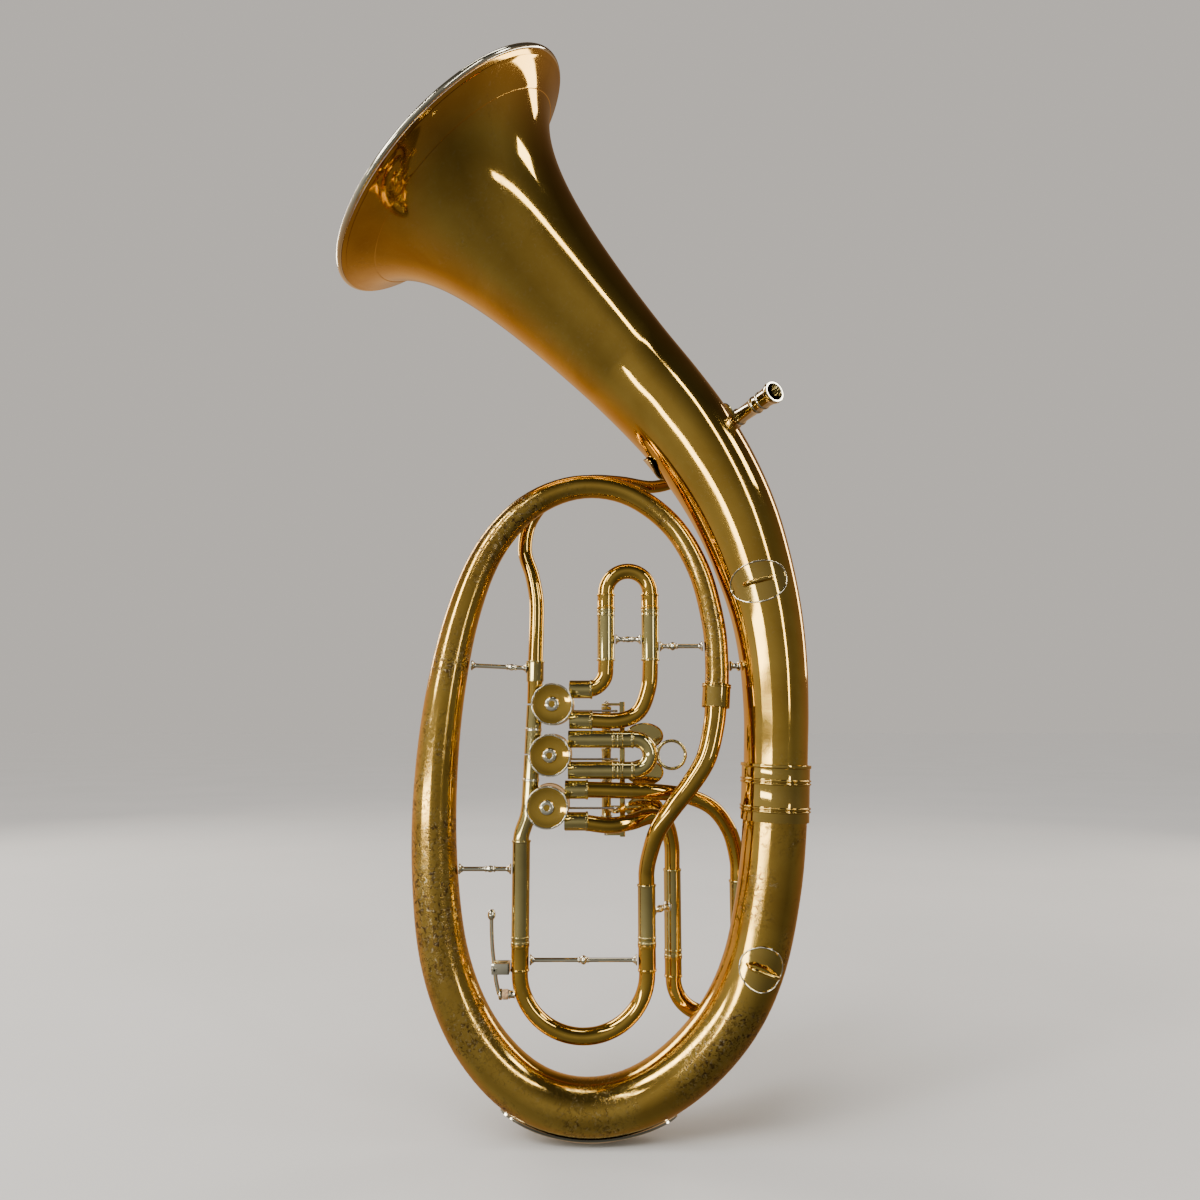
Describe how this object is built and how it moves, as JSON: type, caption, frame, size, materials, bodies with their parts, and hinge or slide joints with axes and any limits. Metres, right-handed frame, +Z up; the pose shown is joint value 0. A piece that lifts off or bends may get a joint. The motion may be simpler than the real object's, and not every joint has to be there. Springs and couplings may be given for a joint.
{
  "type": "rotary alto horn",
  "caption": "Oval rotary-valve alto horn with an upright flared bell, tuning and valve slides, side levers, water key and strap plates.",
  "frame": {"origin": "under the middle of the upright horn, at its lowest point", "axes": "+Z up along the horn towards the bell, +X towards the bell's tail and receiver side, -Y towards the player and the rotor caps, +Y towards the levers"},
  "size_m": [0.2782, 0.1794, 0.6197],
  "materials": {
    "lacquered_brass": "worn golden lacquer over polished brass",
    "nickel_silver": "polished nickel silver with a warm tint",
    "polished_steel": "bright turned steel",
    "natural_cork": "matte natural cork"
  },
  "bodies": {
    "horn_body": {"bearing_plate_1": "nickel_silver", "bearing_plate_2": "nickel_silver", "bearing_plate_3": "nickel_silver", "bell": "lacquered_brass", "bell_bow_brace": "nickel_silver", "bell_ferrule": "nickel_silver", "bell_rim_wire": "nickel_silver", "bow_guard": "nickel_silver", "branch_ferrule": "nickel_silver", "first_bow_brace": "nickel_silver", "first_entry_tube": "lacquered_brass", "first_exit_tube": "lacquered_brass", "first_slide_brace": "nickel_silver", "hinge_rod": "polished_steel", "leadpipe": "lacquered_brass", "leadpipe_brace": "nickel_silver", "leadpipe_flange": "nickel_silver", "lever_rack": "nickel_silver", "lower_strap_plate": "nickel_silver", "main_bow": "lacquered_brass", "main_branch": "lacquered_brass", "mouthpiece_receiver": "nickel_silver", "second_entry_tube": "nickel_silver", "second_exit_tube": "nickel_silver", "third_entry_tube": "lacquered_brass", "third_exit_tube": "lacquered_brass", "third_slide_brace": "nickel_silver", "tuning_outer_sleeve_left": "nickel_silver", "tuning_outer_sleeve_right": "nickel_silver", "tuning_sleeve_brace": "nickel_silver", "upper_strap_plate": "nickel_silver", "valve_cap_1": "lacquered_brass", "valve_cap_2": "lacquered_brass", "valve_cap_3": "lacquered_brass", "valve_casing_1": "nickel_silver", "valve_casing_2": "nickel_silver", "valve_casing_3": "nickel_silver", "valve_exit_tube": "nickel_silver", "valve_knuckle_1": "nickel_silver", "valve_knuckle_2": "nickel_silver"},
    "tuning_slide": {"tuning_slide": "lacquered_brass", "tuning_slide_brace": "nickel_silver", "water_key_saddle": "nickel_silver"},
    "water_key": {"water_key": "nickel_silver", "water_key_cork": "natural_cork"},
    "first_slide": {"first_slide": "lacquered_brass"},
    "second_slide": {"second_slide": "nickel_silver"},
    "third_slide": {"third_slide": "lacquered_brass"},
    "rotor_1": {"rotor_1": "lacquered_brass", "stop_arm_1": "polished_steel"},
    "lever_1": {"lever_1": "nickel_silver"},
    "link_1": {"link_1": "polished_steel"},
    "rotor_2": {"rotor_2": "lacquered_brass", "stop_arm_2": "polished_steel"},
    "lever_2": {"lever_2": "nickel_silver"},
    "link_2": {"link_2": "polished_steel"},
    "rotor_3": {"rotor_3": "lacquered_brass", "stop_arm_3": "polished_steel"},
    "lever_3": {"lever_3": "nickel_silver"},
    "link_3": {"link_3": "polished_steel"}
  },
  "joints": [
    {"name": "lever_1_press", "type": "hinge", "parent": "horn_body", "child": "lever_1", "pos_m": [0.02145, 0.06629, 0.22529], "axis": [0, 0, -1], "range_deg": [0, 25.5], "stiffness_Nm_per_rad": 0.05, "springref_deg": -22.92},
    {"name": "rotor_1_turn", "type": "hinge", "parent": "horn_body", "child": "rotor_1", "pos_m": [-0.00985, 0.02229, 0.23729], "axis": [0, 1, 0], "range_deg": [0, 90]},
    {"name": "link_1_pivot", "type": "hinge", "parent": "lever_1", "child": "link_1", "pos_m": [0.02675, 0.04288, 0.23199], "axis": [0, 0, -1], "range_deg": [-26, 1]},
    {"name": "lever_2_press", "type": "hinge", "parent": "horn_body", "child": "lever_2", "pos_m": [0.02145, 0.06629, 0.19929], "axis": [0, 0, -1], "range_deg": [0, 25.5], "stiffness_Nm_per_rad": 0.05, "springref_deg": -22.92},
    {"name": "rotor_2_turn", "type": "hinge", "parent": "horn_body", "child": "rotor_2", "pos_m": [-0.01105, 0.02229, 0.20849], "axis": [0, 1, 0], "range_deg": [0, 90]},
    {"name": "link_2_pivot", "type": "hinge", "parent": "lever_2", "child": "link_2", "pos_m": [0.02675, 0.04288, 0.20319], "axis": [0, 0, -1], "range_deg": [-26, 1]},
    {"name": "lever_3_press", "type": "hinge", "parent": "horn_body", "child": "lever_3", "pos_m": [0.02145, 0.06629, 0.17329], "axis": [0, 0, -1], "range_deg": [0, 25.5], "stiffness_Nm_per_rad": 0.05, "springref_deg": -22.92},
    {"name": "rotor_3_turn", "type": "hinge", "parent": "horn_body", "child": "rotor_3", "pos_m": [-0.01225, 0.02229, 0.17969], "axis": [0, 1, 0], "range_deg": [0, 90]},
    {"name": "link_3_pivot", "type": "hinge", "parent": "lever_3", "child": "link_3", "pos_m": [0.02675, 0.04288, 0.17439], "axis": [0, 0, -1], "range_deg": [-26, 1]},
    {"name": "tuning_slide_pull", "type": "slide", "parent": "horn_body", "child": "tuning_slide", "axis": [0, 0, -1], "range_m": [0, 0.006]},
    {"name": "first_slide_pull", "type": "slide", "parent": "horn_body", "child": "first_slide", "axis": [0, 0, 1], "range_m": [0, 0.022]},
    {"name": "second_slide_pull", "type": "slide", "parent": "horn_body", "child": "second_slide", "axis": [1, 0, 0], "range_m": [0, 0.012]},
    {"name": "third_slide_pull", "type": "slide", "parent": "horn_body", "child": "third_slide", "axis": [0, 0, -1], "range_m": [0, 0.03]},
    {"name": "water_key_press", "type": "hinge", "parent": "tuning_slide", "child": "water_key", "pos_m": [-0.04135, 0.02229, 0.09029], "axis": [0, 1, 0], "range_deg": [0, 8], "stiffness_Nm_per_rad": 0.03, "springref_deg": -28.65}
  ],
  "couplings": [
    {"joint": "rotor_1_turn", "follows": "lever_1_press", "ratio": 3.525},
    {"joint": "link_1_pivot", "follows": "lever_1_press", "ratio": -1},
    {"joint": "rotor_2_turn", "follows": "lever_2_press", "ratio": 3.525},
    {"joint": "link_2_pivot", "follows": "lever_2_press", "ratio": -1},
    {"joint": "rotor_3_turn", "follows": "lever_3_press", "ratio": 3.525},
    {"joint": "link_3_pivot", "follows": "lever_3_press", "ratio": -1}
  ]
}
